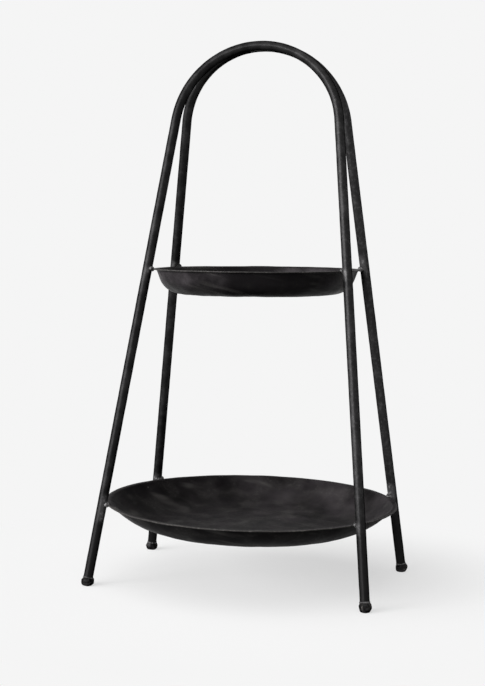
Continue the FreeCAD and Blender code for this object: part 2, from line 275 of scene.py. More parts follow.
def wear_and_painted_sheen_group():
    """Where handling or a brush has thinned the black, and where painted highlights and sheen lighten it: a
    mask broken up by noise, strokes and specks.
    """
    build, given, leaving = new_group(
        "rubbed_edge",
        "ShaderNodeTree",
        {
            "Where": (VECTOR, None),
            "Color": (COLOUR, (0.01, 0.01, 0.01, 1.0)),
            "Roughness": (FLOAT, 0.5),
            "Mask": (FLOAT, 0.0),
            "Rubbed": (COLOUR, (0.11, 0.105, 0.10, 1.0)),
            "Amount": (FLOAT, 0.6),
            "Evenness": (FLOAT, 0.0),
            "Polish": (FLOAT, 0.14),
            "Strokes": (FLOAT, 0.0),
            "Specks": (FLOAT, 0.0),
        },
        {"Color": COLOUR, "Roughness": FLOAT},
    )
    where = given["Where"]
    broken = build.ramp(build.noise(where, 180.0, 5.0, 0.65), 0.42, 0.66)
    broken = build.math("MAXIMUM", broken, given["Evenness"])
    stroke_at = build.add("ShaderNodeCombineXYZ", {
        0: build.vector("DOT_PRODUCT", where, (9.0, 0.0, 0.0)),
        1: build.vector("DOT_PRODUCT", where, (0.0, 14.0, 0.0)),
        2: build.vector("DOT_PRODUCT", where, (22.0, 0.0, 95.0)),
    }).outputs[0]
    strokes = build.ramp(build.noise(stroke_at, 1.0, 1.5), 0.50, 0.78)
    strokes = build.math("MULTIPLY", strokes, build.ramp(build.noise(where, 12.0), 0.42, 0.62))
    cells = build.add("ShaderNodeTexVoronoi", {"Vector": where, "Scale": 24.0}).outputs
    chosen = build.math("GREATER_THAN", build.vector("DOT_PRODUCT", cells["Color"], (1.0, 0.0, 0.0)), 0.72)
    specks = build.math("MULTIPLY", build.ramp(cells["Distance"], 0.036, 0.020), chosen)
    worn_and_sheen = build.math("MULTIPLY", build.math("MULTIPLY", given["Mask"], broken), given["Amount"])
    worn_and_sheen = build.math("MAXIMUM", worn_and_sheen, build.math("MULTIPLY", strokes, given["Strokes"]))
    worn_and_sheen = build.math("MAXIMUM", worn_and_sheen, build.math("MULTIPLY", specks, given["Specks"]))
    # The lighter colour stands for thinned black and, through the same mask, for painted highlights and
    # sheen.
    build.feed(leaving.inputs["Color"], build.blend_colour(worn_and_sheen, given["Color"], given["Rubbed"]))
    smoother = build.math("SUBTRACT", given["Roughness"], build.math("MULTIPLY", worn_and_sheen, given["Polish"]))
    build.feed(leaving.inputs["Roughness"], smoother)
    return build.tree


def settled_dust_group():
    """Thin grey dust on faces that look up, in soft uneven drifts."""
    build, given, leaving = new_group(
        "settled_dust",
        "ShaderNodeTree",
        {
            "Where": (VECTOR, None),
            "Color": (COLOUR, (0.01, 0.01, 0.01, 1.0)),
            "Roughness": (FLOAT, 0.5),
            "Amount": (FLOAT, 0.1),
        },
        {"Color": COLOUR, "Roughness": FLOAT},
    )
    normal = build.add("ShaderNodeNewGeometry").outputs["Normal"]
    upward = build.ramp(build.vector("DOT_PRODUCT", normal, (0.0, 0.0, 1.0)), 0.55, 1.0)
    drift = build.ramp(build.noise(given["Where"], 22.0, 5.0, 0.6), 0.36, 0.72)
    dust = build.math("MULTIPLY", build.math("MULTIPLY", upward, drift), given["Amount"])
    grey = (0.20, 0.19, 0.18, 1.0)
    build.feed(leaving.inputs["Color"], build.blend_colour(dust, given["Color"], grey))
    duller = build.math("ADD", given["Roughness"], build.math("MULTIPLY", dust, 0.5))
    build.feed(leaving.inputs["Roughness"], duller)
    return build.tree


OXIDE_MOTTLE = oxide_mottle_group()
WEAR_AND_PAINTED_SHEEN = wear_and_painted_sheen_group()
SETTLED_DUST = settled_dust_group()


def blackened_finish(name, mottle, wear_and_sheen_by=None, dust=0.0, bump=0.00005, level=0.35, metallic=0.0,
                     edge=1.0):
    """Blackened metal: mottled oxide, high spots thinned by wear, painted sheen and shade, a little dust
    and a fine tooth.

    The wear settings go to the group that lightens thinned black. A piece's mask for it holds worn spots
    and, on the trays' lip fronts and the hoops' legs, painted highlight and sheen; its shade mask is
    painted shade.
    """
    material = bpy.data.materials.new(name)
    material.use_nodes = True
    build = Tree(material.node_tree)
    shader = build.nodes["Principled BSDF"]
    where = build.add("ShaderNodeTexCoord").outputs["Object"]

    # Painted shade: the piece's shade mask darkens its finish.
    sooty = build.add("ShaderNodeAttribute", attribute_name="sooty").outputs["Fac"]
    feeds = {"Where": where, "Soot": sooty, **mottle}
    skin = build.add("ShaderNodeGroup", feeds, node_tree=OXIDE_MOTTLE)
    colour, sheen = skin.outputs["Color"], skin.outputs["Roughness"]
    if wear_and_sheen_by:
        mask = build.add("ShaderNodeAttribute", attribute_name="rubbed").outputs["Fac"]
        feeds = {"Where": where, "Color": colour, "Roughness": sheen, "Mask": mask, **wear_and_sheen_by}
        worn_and_sheen = build.add("ShaderNodeGroup", feeds, node_tree=WEAR_AND_PAINTED_SHEEN)
        colour, sheen = worn_and_sheen.outputs["Color"], worn_and_sheen.outputs["Roughness"]
    if dust:
        feeds = {"Where": where, "Color": colour, "Roughness": sheen, "Amount": dust}
        film = build.add("ShaderNodeGroup", feeds, node_tree=SETTLED_DUST)
        colour, sheen = film.outputs["Color"], film.outputs["Roughness"]

    feeds = {"Height": skin.outputs["Height"], "Distance": bump, "Strength": 0.6}
    tooth = build.add("ShaderNodeBump", feeds)
    build.feed(shader.inputs["Base Color"], colour)
    build.feed(shader.inputs["Roughness"], sheen)
    build.feed(shader.inputs["Normal"], tooth.outputs["Normal"])
    shader.inputs["Metallic"].default_value = metallic
    shader.inputs["Specular IOR Level"].default_value = level
    shader.inputs["Specular Tint"].default_value = (edge, edge, edge, 1.0)
    return material


TUBE_FINISH = blackened_finish(
    "blackened_tube",
    {"Black": (0.0105, 0.0103, 0.0105, 1), "Oxide": (0.0270, 0.0266, 0.0270, 1), "Patch Scale": 45.0,
     "Patch Spread": 0.35, "Sheen Low": 0.31, "Sheen High": 0.43},
    wear_and_sheen_by={"Rubbed": (0.22, 0.216, 0.219, 1), "Amount": 0.65, "Evenness": 0.4, "Polish": -0.4},
    level=0.0, metallic=0.6, edge=0.0,
)
UPPER_TRAY_FINISH = blackened_finish(
    "blackened_hammered_sheet",
    {"Black": (0.0060, 0.0053, 0.0058, 1), "Oxide": (0.068, 0.0606, 0.0656, 1), "Patch Scale": 22.0,
     "Patch Spread": 0.46, "Sheen Low": 0.36, "Sheen High": 0.58},
    wear_and_sheen_by={"Amount": 0.6, "Evenness": 0.4, "Strokes": 0.45, "Specks": 0.9},
    dust=0.05, bump=0.00008, level=0.03,
)
# Painted shade: the lower dish has a darker version of the upper dish's finish.
LOWER_TRAY_FINISH = blackened_finish(
    "sooty_hammered_sheet",
    {"Black": (0.0045, 0.0040, 0.0043, 1), "Oxide": (0.034, 0.0302, 0.0326, 1), "Patch Scale": 16.0,
     "Patch Spread": 0.46, "Sheen Low": 0.36, "Sheen High": 0.58},
    wear_and_sheen_by={"Amount": 0.85, "Evenness": 0.4, "Strokes": 0.45, "Specks": 0.9},
    dust=0.04, bump=0.00008, level=0.008,
)
FOOT_FINISH = blackened_finish(
    "blackened_forged_ball",
    {"Black": (0.0045, 0.0043, 0.0044, 1), "Oxide": (0.034, 0.0333, 0.0337, 1), "Patch Scale": 160.0,
     "Patch Spread": 0.4, "Sheen Low": 0.32, "Sheen High": 0.50},
    wear_and_sheen_by={"Amount": 0.85, "Evenness": 0.4}, bump=0.00008, level=0.0, metallic=0.6, edge=0.15,
)
BRIGHT_WELD = blackened_finish(
    "brushed_weld_metal",
    {"Black": (0.045, 0.0442, 0.0445, 1), "Oxide": (0.19, 0.187, 0.188, 1), "Patch Scale": 160.0,
     "Patch Spread": 0.5, "Sheen Low": 0.34, "Sheen High": 0.50},
    metallic=1.0,
)
DULL_WELD = blackened_finish(
    "smoked_weld_metal",
    {"Black": (0.026, 0.0255, 0.0258, 1), "Oxide": (0.105, 0.1032, 0.104, 1), "Patch Scale": 160.0,
     "Patch Spread": 0.5, "Sheen Low": 0.34, "Sheen High": 0.50},
    metallic=1.0,
)
BLACK_WELD = blackened_finish(
    "blackened_weld_metal",
    {"Black": (0.0060, 0.0058, 0.0057, 1), "Oxide": (0.030, 0.029, 0.0283, 1), "Patch Scale": 130.0,
     "Patch Spread": 0.4, "Sheen Low": 0.34, "Sheen High": 0.50},
    level=0.1,
)

# ---------------------------------------------------------------- hoops


def bent_tube_tree():
    """Tube on a path of one arch with a straight leg at each end, its skin a little uneven.

    The path is found from the distance s along it: the turn is s over the arch's radius, held at the
    end of the arch, and what is left of s runs on straight.
    """
    build, given, leaving = new_geometry_tree("bent_tube", {
        "Arch Radius": (FLOAT, 0.14),
        "Half Turn": (FLOAT, 1.4),
        "Half Length": (FLOAT, 1.0),
        "Tube Radius": (FLOAT, 0.007),
        "Stations": (INTEGER, 900),
        "Sides": (INTEGER, 40),
        "Dent Depth": (FLOAT, 0.0002),
        "Dent Scale": (FLOAT, 45.0),
        "Shift": (VECTOR, (0.0, 0.0, 0.0)),
    })
    start = build.add("ShaderNodeCombineXYZ", {0: build.math("MULTIPLY", given["Half Length"], -1.0)})
    end = build.add("ShaderNodeCombineXYZ", {0: given["Half Length"]})
    line = build.add("GeometryNodeCurvePrimitiveLine", {"Start": start.outputs[0], "End": end.outputs[0]})
    stations = build.add("GeometryNodeResampleCurve",
                         {"Curve": line.outputs[0], "Count": given["Stations"]})
    position = build.add("GeometryNodeInputPosition").outputs[0]
    along = build.add("ShaderNodeSeparateXYZ", {0: position}).outputs["X"]
    turn = build.math("DIVIDE", along, given["Arch Radius"])
    turn = build.math("MINIMUM", turn, given["Half Turn"])
    turn = build.math("MAXIMUM", turn, build.math("MULTIPLY", given["Half Turn"], -1.0))
    left = build.math("SUBTRACT", along, build.math("MULTIPLY", turn, given["Arch Radius"]))
    sine, cosine = build.math("SINE", turn), build.math("COSINE", turn)
    across = build.math("ADD", build.math("MULTIPLY", given["Arch Radius"], sine),
                        build.math("MULTIPLY", left, cosine))
    rise = build.math("SUBTRACT", build.math("MULTIPLY", given["Arch Radius"],
                                             build.math("SUBTRACT", cosine, 1.0)),
                      build.math("MULTIPLY", left, sine))
    place = build.add("ShaderNodeCombineXYZ", {0: across, 2: rise}).outputs[0]
    path = build.add("GeometryNodeSetPosition", {"Geometry": stations.outputs[0], "Position": place})
    ring = build.add("GeometryNodeCurvePrimitiveCircle",
                     {"Resolution": given["Sides"], "Radius": given["Tube Radius"]}).outputs[0]
    tube = build.add("GeometryNodeCurveToMesh", {"Curve": path.outputs[0], "Profile Curve": ring,
                                                 "Fill Caps": True}).outputs[0]

    normal = build.add("GeometryNodeInputNormal").outputs[0]
    where = build.vector("ADD", position, given["Shift"])
    swell = build.ramp(build.noise(where, given["Dent Scale"], 3.0, 0.55), 0.35, 0.75)
    depth = build.math("MULTIPLY", build.math("MULTIPLY", swell, given["Dent Depth"]), -1.0)
    dented = build.add("GeometryNodeSetPosition",
                       {"Geometry": tube, "Offset": build.scaled(normal, depth)}).outputs[0]
    return finish_tree(build, given, leaving, dented)


BENT_TUBE = bent_tube_tree()


def make_hoop(name, side_y):
    """One hoop, drawn upright with its crown at the origin, then leaned and lifted into place."""
    half_turn = math.pi / 2 - LEG_SPLAY
    drop = (CROWN_Z - BALL_CENTRE) / math.cos(HOOP_LEAN)
    to_ball = (drop - ARCH_RADIUS * (1 - math.sin(LEG_SPLAY))) / math.cos(LEG_SPLAY)
    leg = to_ball - BALL_SEAT + LEG_BELOW_SEAT
    hoop = grow(name, BENT_TUBE, bpy.data.meshes.new(name + "_start"),
                arch_radius=ARCH_RADIUS, half_turn=half_turn, half_length=ARCH_RADIUS * half_turn + leg,
                tube_radius=TUBE_RADIUS, stations=1000, sides=40, dent_depth=0.00022, dent_scale=45.0,
                shift=(0.0, side_y * 3.0, 0.0), material=TUBE_FINISH)
    lean = Matrix.Rotation(side_y * HOOP_LEAN, 4, "X")
    hoop.data.transform(Matrix.Translation((0, side_y * CROWN_Y, CROWN_Z)) @ lean)
    mark_brushing_sheen_and_shade(hoop.data, side_y)
    settle(hoop, "hoop_tube", name)


def mark_brushing_sheen_and_shade(mesh, side_y):
    """Store how brushed a hoop is, most by its joints with the trays, a painted sheen, and painted shade
    low on its legs.

    Heights are above the floor or a joint. The patches lie on the side of a leg that faces the table's
    middle, and their two sides are in tube radii from the leg's centreline, outward.
    """
    # Painted shade: the legs are darkened towards the floor, most below the lower height and not at all
    # above the upper one.
    darkest_below, unshaded_above, deepest_shade = 0.07, 0.19, 0.9
    left_until, right_from = -0.02, 0.15
    joint_reach, patch_fade, patch_share = 0.05, 0.007, 0.9
    bare_side, brushed_side = 0.9, -0.3
    joints = []
    for place, (sides, _) in LEGS.items():
        if sides[1] == side_y:
            joints += [(sides[0], joint(tray, *sides).z, *BRUSHED[tray][place]) for tray in TRAYS]
    left, right = PAINTED_LEG_SHEEN[side_y]
    shade_mask = [deepest_shade * smooth_step(vertex.co.z, unshaded_above, darkest_below)
            for vertex in mesh.vertices]
    shares = []
    for vertex, shade_here in zip(mesh.vertices, shade_mask):
        # Painted sheen: lighter all over towards +X, more on the rear hoop.
        share = left + (right - left) * smooth_step(vertex.co.x, left_until, right_from)
        share *= 1 - shade_here
        for side_x, level, above, below in joints:
            height = vertex.co.z - level
            if side_x * vertex.co.x > 0 and -joint_reach < height < joint_reach:
                leg = leg_point(side_x, side_y, vertex.co.z)
                outward = (vertex.co - leg).dot(Vector((leg.x, leg.y, 0.0)).normalized())
                patch = smooth_step(height, above + patch_fade, above - patch_fade)
                patch *= smooth_step(height, -below - patch_fade, patch_fade - below)
                patch *= smooth_step(outward / TUBE_RADIUS, bare_side, brushed_side)
                share = max(share, patch_share * patch)
        shares.append(share)
    mesh.attributes.new("rubbed", "FLOAT", "POINT").data.foreach_set("value", shares)
    mesh.attributes.new("sooty", "FLOAT", "POINT").data.foreach_set("value", shade_mask)


for side_name, hoop_side in (("front", -1), ("rear", 1)):
    make_hoop(f"{side_name}_hoop", hoop_side)

# ---------------------------------------------------------------- trays


def arc_points(centre, radius, first, last, steps):
    """Points on an arc in the plane of a tray's section, each with the arc's outward direction."""
    points = []
    for step in range(steps + 1):
        angle = first + (last - first) * step / steps
        out = Vector((math.cos(angle), math.sin(angle)))
        points.append((centre + out * radius, out))
    return points


def tray_section(rim_radius, lip_flat, depth, lean, corner):
    """Middle line of a tray's sheet from the axis to the lip, as points with the sheet's upper normal.

    The section's plane has the radius first and the height below the top of the lip second.
    """
    floor_pitch, wall_pitch, fewest_wall_steps = 0.0032, 0.003, 4
    bend_steps, lip_steps = 7, 4
    lean = math.radians(lean)
    half = SHEET / 2
    inward = Vector((-math.cos(lean), math.sin(lean)))
    down = Vector((-math.sin(lean), -math.cos(lean)))
    up = Vector((0.0, 1.0))
    bend_centre = Vector((rim_radius - lip_flat, -SHEET - LIP_BEND))
    wall_drop = depth - (corner + LIP_BEND) * (1 - math.sin(lean)) - SHEET
    wall_top = bend_centre + inward * (LIP_BEND + half)
    wall_foot = bend_centre + inward * LIP_BEND + down * (wall_drop / math.cos(lean)) + inward * half
    corner_centre = wall_foot + inward * (corner - half)
    floor_radius = corner_centre.x
    rings = round(floor_radius / floor_pitch)
    floor = [(Vector((floor_radius * step / rings, half - depth)), up) for step in range(1, rings)]
    steps = round(corner * (math.pi / 2 - lean) / wall_pitch)
    turned = arc_points(corner_centre, corner - half, -math.pi / 2, -lean, steps)
    corner_line = [(point, -out) for point, out in turned]
    rise = (wall_top - wall_foot).length
    wall_steps = max(fewest_wall_steps, round(rise / wall_pitch))
    wall = [(wall_foot.lerp(wall_top, step / wall_steps), inward) for step in range(1, wall_steps)]
    bend = arc_points(bend_centre, LIP_BEND + half, math.pi - lean, math.pi / 2, bend_steps)
    edge_x = rim_radius - half
    lip = [(Vector((bend_centre.x + (edge_x - bend_centre.x) * step / lip_steps, -half)), up)
           for step in range(1, lip_steps + 1)]
    return floor + corner_line + wall + bend + lip


def spin_tray(name, rim_level, rim_radius, spec, around):
    """Closed sheet dish spun from its section, which remembers each point's place on the sheet."""
    line = tray_section(rim_radius, spec["lip"], spec["depth"], spec["lean"], spec["corner"])
    half = SHEET / 2
    edge_steps = 8
    upper = [(point + normal * half, point, normal) for point, normal in line]
    lower = [(point - normal * half, point, normal) for point, normal in line]
    tip = line[-1][0]
    edge = [(tip + out * half, tip, Vector((0.0, 1.0)))
            for _, out in arc_points(tip, half, math.pi / 2, -math.pi / 2, edge_steps)[1:-1]]
    outline = upper + edge + lower[::-1]

    shell = bmesh.new()
    on_sheet = shell.verts.layers.float_vector.new("on_sheet")
    sheet_up = shell.verts.layers.float_vector.new("sheet_up")

    def add_vertex(point, middle, normal, angle):
        turn = Vector((math.cos(angle), math.sin(angle)))
        vertex = shell.verts.new((point.x * turn.x, point.x * turn.y, rim_level + point.y))
        vertex[on_sheet] = (middle.x * turn.x, middle.x * turn.y, rim_level + middle.y)
        vertex[sheet_up] = (normal.x * turn.x, normal.x * turn.y, normal.y)
        return vertex

    rows = []
    for point, middle, normal in outline:
        rows.append([add_vertex(point, middle, normal, math.tau * step / around)
                     for step in range(around)])
    floor_z = half - spec["depth"]
    up = Vector((0.0, 1.0))
    poles = [add_vertex(Vector((0.0, floor_z + side * half)), Vector((0.0, floor_z)), up, 0.0)
             for side in (1, -1)]
    for row, following in zip(rows, rows[1:]):
        for step in range(around):
            ahead = (step + 1) % around
            shell.faces.new((row[step], following[step], following[ahead], row[ahead]))
    for step in range(around):
        ahead = (step + 1) % around
        shell.faces.new((poles[0], rows[0][step], rows[0][ahead]))
        shell.faces.new((poles[1], rows[-1][ahead], rows[-1][step]))
    mesh = bpy.data.meshes.new(name + "_spun")
    shell.to_mesh(mesh)
    shell.free()
    return mesh


def hammered_sheet_tree():
    """Hammer marks and slow warps that move both faces of a sheet together.

    Each mark is a shallow bowl about a cell's centre. Marks fade towards the rim, where the lip was
    trued. The ridges between them, and a painted highlight along the front of the lip, are kept as one
    mask that the finish reads, and painted shade as another: darker on the underside, on one side of
    the dish, and inside it towards another side and along the bend at the back.
    """
    build, given, leaving = new_geometry_tree("hammered_sheet", {
        "Mark Scale": (FLOAT, 48.0),
        "Mark Depth": (FLOAT, 0.0004),
        "Warp Depth": (FLOAT, 0.0006),
        "Rim Radius": (FLOAT, 0.2),
        "Lip Wave": (FLOAT, 0.0004),
        "Under Soot": (FLOAT, 0.0),
        "Under Start": (FLOAT, -1.0),
        "Side Soot": (FLOAT, 0.0),
        "Sooty Side": (VECTOR, (0.0, -1.0, 0.0)),
        "Side Start": (FLOAT, 0.8),
        "Side End": (FLOAT, 1.0),
        "Inner Soot": (FLOAT, 0.0),
        "Inner Side": (VECTOR, (-1.0, 0.0, 0.0)),
        "Shift": (VECTOR, (0.0, 0.0, 0.0)),
    })
    place = build.add("GeometryNodeInputNamedAttribute", {"Name": "on_sheet"},
                      data_type="FLOAT_VECTOR").outputs[0]
    upward = build.add("GeometryNodeInputNamedAttribute", {"Name": "sheet_up"},
                       data_type="FLOAT_VECTOR").outputs[0]
    where = build.vector("ADD", place, given["Shift"])
    flat = build.vector("MULTIPLY", place, (1.0, 1.0, 0.0))
    radius = build.vector("LENGTH", flat)
    inside = build.math("SUBTRACT", given["Rim Radius"], radius)
    clear_of_rim = build.ramp(inside, 0.004, 0.016)

    cells = build.add("ShaderNodeTexVoronoi",
                      {"Vector": where, "Scale": given["Mark Scale"], "Smoothness": 0.35,
                       "Randomness": 0.95}, feature="SMOOTH_F1").outputs["Distance"]
    bowl = build.math("SUBTRACT", 1.0, build.math("POWER", build.math("MULTIPLY", cells, 1.25), 2.0))
    struck = build.ramp(build.noise(where, 14.0, 2.0), 0.28, 0.62, 0.35, 1.0)
    mark = build.math("MULTIPLY", build.math("MULTIPLY", bowl, struck), given["Mark Depth"])
    warp = build.math("SUBTRACT", build.noise(where, 9.0, 2.0), 0.5)
    warp = build.math("MULTIPLY", warp, build.math("MULTIPLY", given["Warp Depth"], 2.0))
    sink = build.math("MULTIPLY", build.math("SUBTRACT", warp, mark), clear_of_rim)
    at_rim = build.math("SUBTRACT", 1.0, clear_of_rim)
    wave = build.ramp(build.noise(where, 16.0, 2.0), 0.3, 0.7)
    wave = build.math("MULTIPLY", build.math("MULTIPLY", wave, given["Lip Wave"]), at_rim)
    offset = build.scaled(upward, build.math("SUBTRACT", sink, wave))
    position = build.add("GeometryNodeInputPosition").outputs[0]
    above = build.vector("DOT_PRODUCT", build.vector("SUBTRACT", position, place), upward)
    # Painted shade: darker on the underside, on one side, and inside towards another side and along the
    # back bend.
    flatness = build.vector("DOT_PRODUCT", upward, (0.0, 0.0, 1.0))
    under = build.ramp(flatness, given["Under Start"], build.math("ADD", given["Under Start"], 0.4))
    under = build.math("MULTIPLY", under, given["Under Soot"])
    under = build.math("MULTIPLY", under, build.ramp(above, 0.0003, -0.0003))
    direction = build.vector("NORMALIZE", flat)
    facing = build.vector("DOT_PRODUCT", direction, given["Sooty Side"])
    beside = build.ramp(facing, given["Side Start"], given["Side End"], 0.0, given["Side Soot"])
    backward = build.vector("DOT_PRODUCT", direction, (0.0, 1.0, 0.0))
    in_bend = build.math("MULTIPLY", build.ramp(inside, 0.0082, 0.0070), build.ramp(backward, 0.0, 0.4))
    shaded_inside = build.ramp(build.vector("DOT_PRODUCT", direction, given["Inner Side"]), 0.1, 0.45)
    inner = build.math("MULTIPLY", build.math("MAXIMUM", in_bend, shaded_inside), given["Inner Soot"])
    inner = build.math("MULTIPLY", inner, build.ramp(above, -0.0003, 0.0003))
    off_middle = build.ramp(build.math("DIVIDE", radius, given["Rim Radius"]), 0.0, 0.6)
    on_sides = build.math("MULTIPLY", build.math("MAXIMUM", beside, inner), off_middle)
    shade_mask = build.math("MAXIMUM", under, on_sides)
    shade_stored = build.add("GeometryNodeStoreNamedAttribute",
                       {"Geometry": given["Geometry"], "Name": "sooty", "Value": shade_mask},
                       data_type="FLOAT", domain="POINT").outputs[0]
    moved = build.add("GeometryNodeSetPosition", {"Geometry": shade_stored, "Offset": offset}).outputs[0]

    ridge = build.math("MULTIPLY", build.ramp(bowl, 0.75, 0.35), build.math("MULTIPLY", clear_of_rim, 0.17))
    # Painted highlight: the front of the lip is lightened through the same mask as the worn ridges.
    painted_lip_highlight = build.math("MULTIPLY", build.ramp(inside, 0.0042, 0.0008), build.ramp(backward, 0.3, -0.2))
    mask = build.math("MAXIMUM", ridge, painted_lip_highlight)
    kept = build.add("GeometryNodeStoreNamedAttribute",
                     {"Geometry": moved, "Name": "rubbed", "Value": mask}, data_type="FLOAT",
                     domain="POINT").outputs[0]
    return finish_tree(build, given, leaving, kept)


HAMMERED_SHEET = hammered_sheet_tree()


def make_tray(name, around, **settings):
    """Spun dish a hair inside its CAD node's rim, hammered, then tipped as it was welded in."""
    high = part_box(name)[1]
    rim_radius = high.x - RIM_HAIR
    start = spin_tray(name, high.z, rim_radius, TRAYS[name], around)
    tray = grow(name, HAMMERED_SHEET, start, warp_depth=0.0006, rim_radius=rim_radius, lip_wave=0.0005,
                **settings)
    rise_x, rise_y = (math.radians(rise) for rise in TRAYS[name]["rises"])
    tip = Matrix.Rotation(rise_y, 4, "X") @ Matrix.Rotation(-rise_x, 4, "Y")
    middle = Matrix.Translation((0.0, 0.0, high.z))
    tray.data.transform(middle @ tip @ middle.inverted())
    settle(tray, "tray_sheet", name)


# Painted shade on each dish: darker underneath and on one side, and the upper one also inside at its back
# left.
make_tray("upper_tray", 320, shift=(3.1, 0.7, 0.0), mark_scale=38.0, mark_depth=0.0009, under_soot=0.9,
          under_start=0.38, sooty_side=(0.42, -0.91, 0.0), side_start=0.80, side_end=0.97,
          side_soot=0.9, inner_soot=0.85, inner_side=(-0.95, 0.3, 0.0), material=UPPER_TRAY_FINISH)
make_tray("lower_tray", 400, shift=(0.4, 5.2, 0.0), mark_scale=28.0, mark_depth=0.0008, under_soot=1.0,
          sooty_side=(-0.98, -0.2, 0.0), side_start=-0.6, side_end=0.9, side_soot=0.65,
          material=LOWER_TRAY_FINISH)

# ---------------------------------------------------------------- ball feet


def forged_ball_tree():
    """Ball with flattish hammer marks, pressed flat where it stands."""
    build, given, leaving = new_geometry_tree("forged_ball", {
        "Radius": (FLOAT, 0.01),
        "Centre Height": (FLOAT, 0.008),
        "Mark Scale": (FLOAT, 120.0),
        "Mark Depth": (FLOAT, 0.0005),
        "Shift": (VECTOR, (0.0, 0.0, 0.0)),
    })
    ball = build.add("GeometryNodeMeshIcoSphere", {"Radius": given["Radius"], "Subdivisions": 6})
    position = build.add("GeometryNodeInputPosition").outputs[0]
    where = build.vector("ADD", position, given["Shift"])
    cells = build.add("ShaderNodeTexVoronoi",
                      {"Vector": where, "Scale": given["Mark Scale"], "Smoothness": 0.25},
                      feature="SMOOTH_F1").outputs["Distance"]
    bowl = build.math("SUBTRACT", 1.0, build.math("POWER", build.math("MULTIPLY", cells, 1.3), 2.0))
    bowl = build.math("MAXIMUM", bowl, 0.0)
    outward = build.vector("NORMALIZE", position)
    sink = build.math("MULTIPLY", build.math("MULTIPLY", bowl, given["Mark Depth"]), -1.0)
    struck = build.vector("ADD", position, build.scaled(outward, sink))
    lifted = build.vector("ADD", struck,
                          build.add("ShaderNodeCombineXYZ", {2: given["Centre Height"]}).outputs[0])
    parts = build.add("ShaderNodeSeparateXYZ", {0: lifted})
    stood = build.add("ShaderNodeCombineXYZ", {0: parts.outputs["X"], 1: parts.outputs["Y"],
                                               2: build.math("MAXIMUM", parts.outputs["Z"], 0.0)})
    shaped = build.add("GeometryNodeSetPosition",
                       {"Geometry": ball.outputs[0], "Position": stood.outputs[0]}).outputs[0]
    mask = build.math("MULTIPLY", build.ramp(bowl, 0.45, 0.1), 0.6)
    kept = build.add("GeometryNodeStoreNamedAttribute",
                     {"Geometry": shaped, "Name": "rubbed", "Value": mask}, data_type="FLOAT",
                     domain="POINT").outputs[0]
    return finish_tree(build, given, leaving, kept)


FORGED_BALL = forged_ball_tree()


def make_foot(place, side_x, side_y, squash):
    """Hammered ball under a leg, beaten down to a share of its height."""
    node = f"ball_foot_{place}"
    foot = grow(node, FORGED_BALL, bpy.data.meshes.new(node + "_start"), radius=BALL_RADIUS,
                centre_height=BALL_CENTRE, mark_scale=110.0, mark_depth=0.0015,
                shift=(side_x * 1.7, side_y * 2.3, 0.0), material=FOOT_FINISH)
    centre = leg_point(side_x, side_y, BALL_CENTRE)
    wider = 1 / math.sqrt(squash)
    beaten = Matrix.Diagonal((wider, wider, squash, 1.0))
    foot.data.transform(Matrix.Translation((centre.x, centre.y, 0.0)) @ beaten)
    settle(foot, "ball_foot", node)


# ---------------------------------------------------------------- weld beads


def weld_bead_tree():
    """Rippled bead: overlapping puddles laid along a path, run together into one skin."""
    build, given, leaving = new_geometry_tree("weld_bead", {
        "Puddle Radius": (FLOAT, 0.002),
        "Puddle Pitch": (FLOAT, 0.0012),
        "Puddle Length": (FLOAT, 0.7),
        "Unevenness": (FLOAT, 0.12),
        "Skin Voxel": (FLOAT, 0.0003),
        "Seed": (INTEGER, 1),
    })
    path = build.add("GeometryNodeMeshToCurve", {"Mesh": given["Geometry"]}).outputs[0]
    marks = build.add("GeometryNodeCurveToPoints", {"Curve": path, "Length": given["Puddle Pitch"]},
                      mode="LENGTH")
    puddle = build.add("GeometryNodeMeshIcoSphere",
                       {"Radius": given["Puddle Radius"], "Subdivisions": 4}).outputs[0]
    small = build.math("SUBTRACT", 1.0, given["Unevenness"])
    feeds = {2: small, 3: 1.0, "Seed": given["Seed"]}
    size = build.add("FunctionNodeRandomValue", feeds, data_type="FLOAT").outputs[1]
    scale = build.add("ShaderNodeCombineXYZ", {0: size, 1: size,
                                               2: build.math("MULTIPLY", size, given["Puddle Length"])})
    laid = build.add("GeometryNodeInstanceOnPoints",
                     {"Points": marks.outputs[0], "Instance": puddle, "Rotation": marks.outputs["Rotation"],
                      "Scale": scale.outputs[0]}).outputs[0]
    solid = build.add("GeometryNodeRealizeInstances", {"Geometry": laid}).outputs[0]
    feeds = {"Mesh": solid, "Voxel Size": given["Skin Voxel"], "Interior Band Width": 0.0006}
    volume = build.add("GeometryNodeMeshToVolume", feeds, resolution_mode="VOXEL_SIZE").outputs[0]
    feeds = {"Volume": volume, "Voxel Size": given["Skin Voxel"]}
    skin = build.add("GeometryNodeVolumeToMesh", feeds, resolution_mode="VOXEL_SIZE").outputs[0]
    return finish_tree(build, given, leaving, skin)


WELD_BEAD = weld_bead_tree()
# One rim bead was brushed bright and one was left black. The others are smoky.
RIM_BEAD_FINISHES = {("lower_tray", "front_left"): BRIGHT_WELD, ("upper_tray", "rear_left"): BLACK_WELD}


def path_mesh(name, points, closed=False):
    """Bare line of edges for a bead to follow."""
    mesh = bpy.data.meshes.new(name)
    last = len(points) - (0 if closed else 1)
    mesh.from_pydata([tuple(point) for point in points],
                     [(step, (step + 1) % len(points)) for step in range(last)], [])
    return mesh


def make_bead(node, points, seed, closed=False, **settings):
    """One bead along a line of points, or round a closed one."""
    bead = grow(node, WELD_BEAD, path_mesh(node + "_path", points, closed), seed=seed, **settings)
    settle(bead, "weld_bead", node)


def ring_points(centre, axis, radius, steps):
    """Points on a circle about an axis."""
    first = axis.orthogonal().normalized()
    second = axis.cross(first)
    angles = [math.tau * step / steps for step in range(steps)]
    return [centre + (first * math.cos(angle) + second * math.sin(angle)) * radius for angle in angles]


